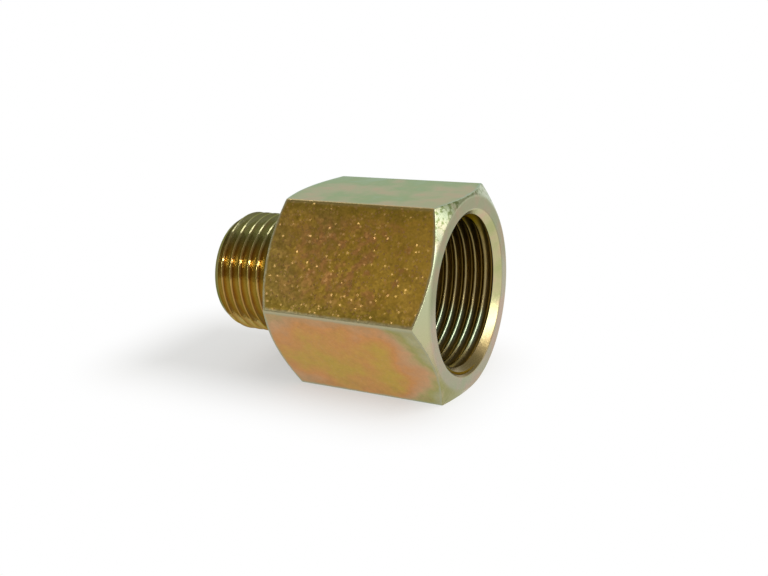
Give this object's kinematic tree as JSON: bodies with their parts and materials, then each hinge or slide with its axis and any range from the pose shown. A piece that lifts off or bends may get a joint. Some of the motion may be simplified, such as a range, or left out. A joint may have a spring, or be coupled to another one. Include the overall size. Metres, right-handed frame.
{
  "type": "hydraulic adapter fitting",
  "caption": "Hexagonal hydraulic adapter with a threaded male stud on one end, a larger threaded female socket in the other, and a flow bore through both.",
  "frame": {"origin": "on the thread axis, in the plane of the shoulder where the stud meets the hexagon", "axes": "+X along the thread axis, out of the socket's mouth; +Z square to the hexagon's flats, up as the fitting lies on one of them"},
  "size_m": [0.044, 0.0368, 0.032],
  "materials": {
    "zinc_plated_steel": "yellow-passivated zinc plate, satin, with pink and green tints"
  },
  "bodies": {
    "root": {"adapter_body": "zinc_plated_steel"}
  },
  "joints": []
}
